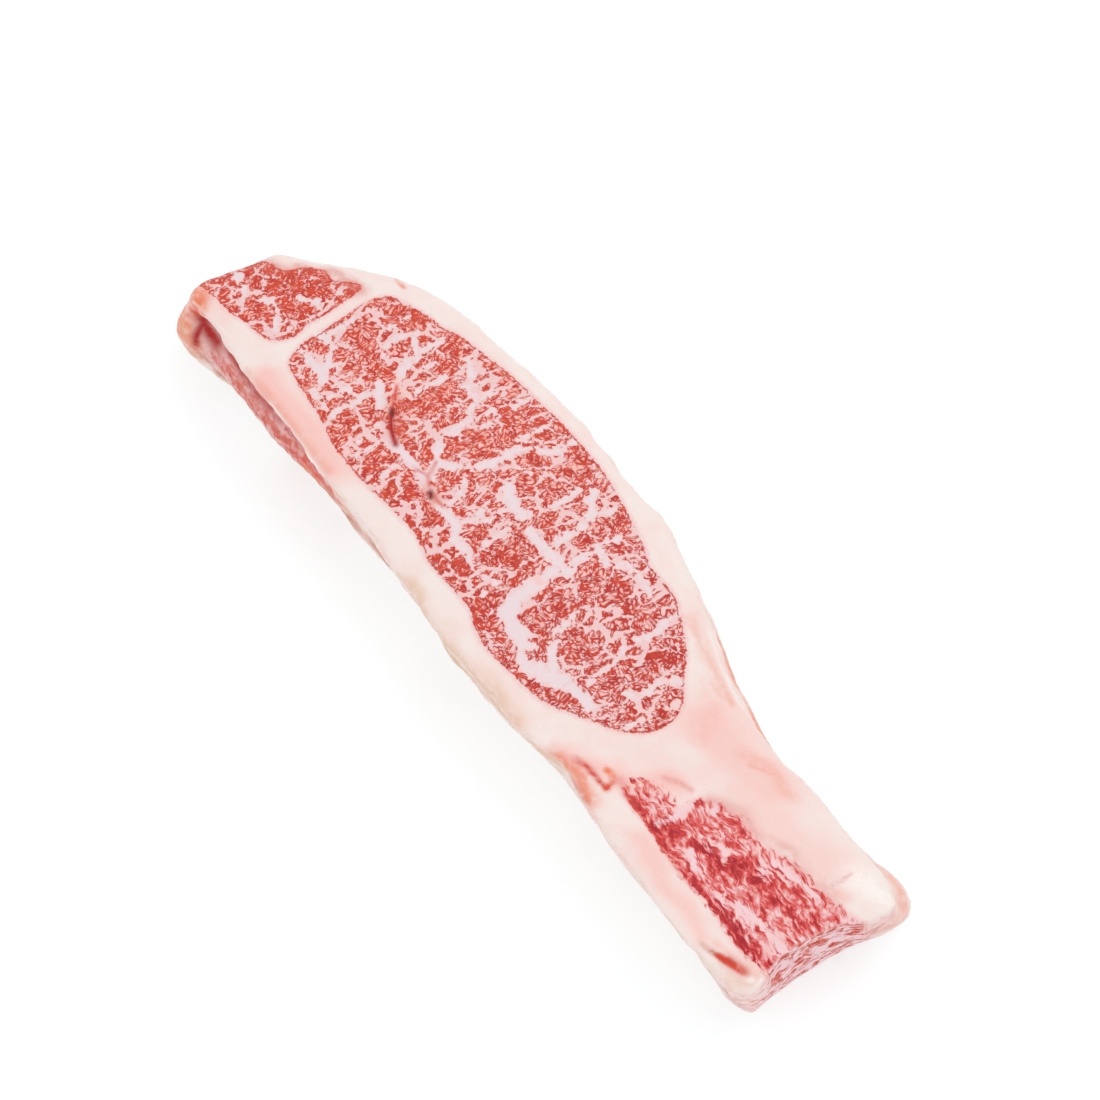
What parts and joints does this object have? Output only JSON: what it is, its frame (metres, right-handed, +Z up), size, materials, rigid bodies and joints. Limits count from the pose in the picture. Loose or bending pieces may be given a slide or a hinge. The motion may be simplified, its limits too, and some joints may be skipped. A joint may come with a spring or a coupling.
{
  "type": "raw wagyu ribeye cap",
  "caption": "Thick raw slice of finely marbled beef: three lean muscles in a body of white fat, wide at the head and narrow at the tail, lying flat on a cut face.",
  "frame": {"origin": "middle of the bounding box, on the underside's plane", "axes": "+X along the slice from its head to its tail, +Y from the near edge to the far edge, +Z up through its thickness"},
  "size_m": [0.2656, 0.077, 0.0274],
  "materials": {
    "marbled_beef": "moist raw meat: soft red lean finely veined with pinkish white fat, cream white outer fat"
  },
  "bodies": {
    "root": {"steak": "marbled_beef"}
  },
  "joints": []
}
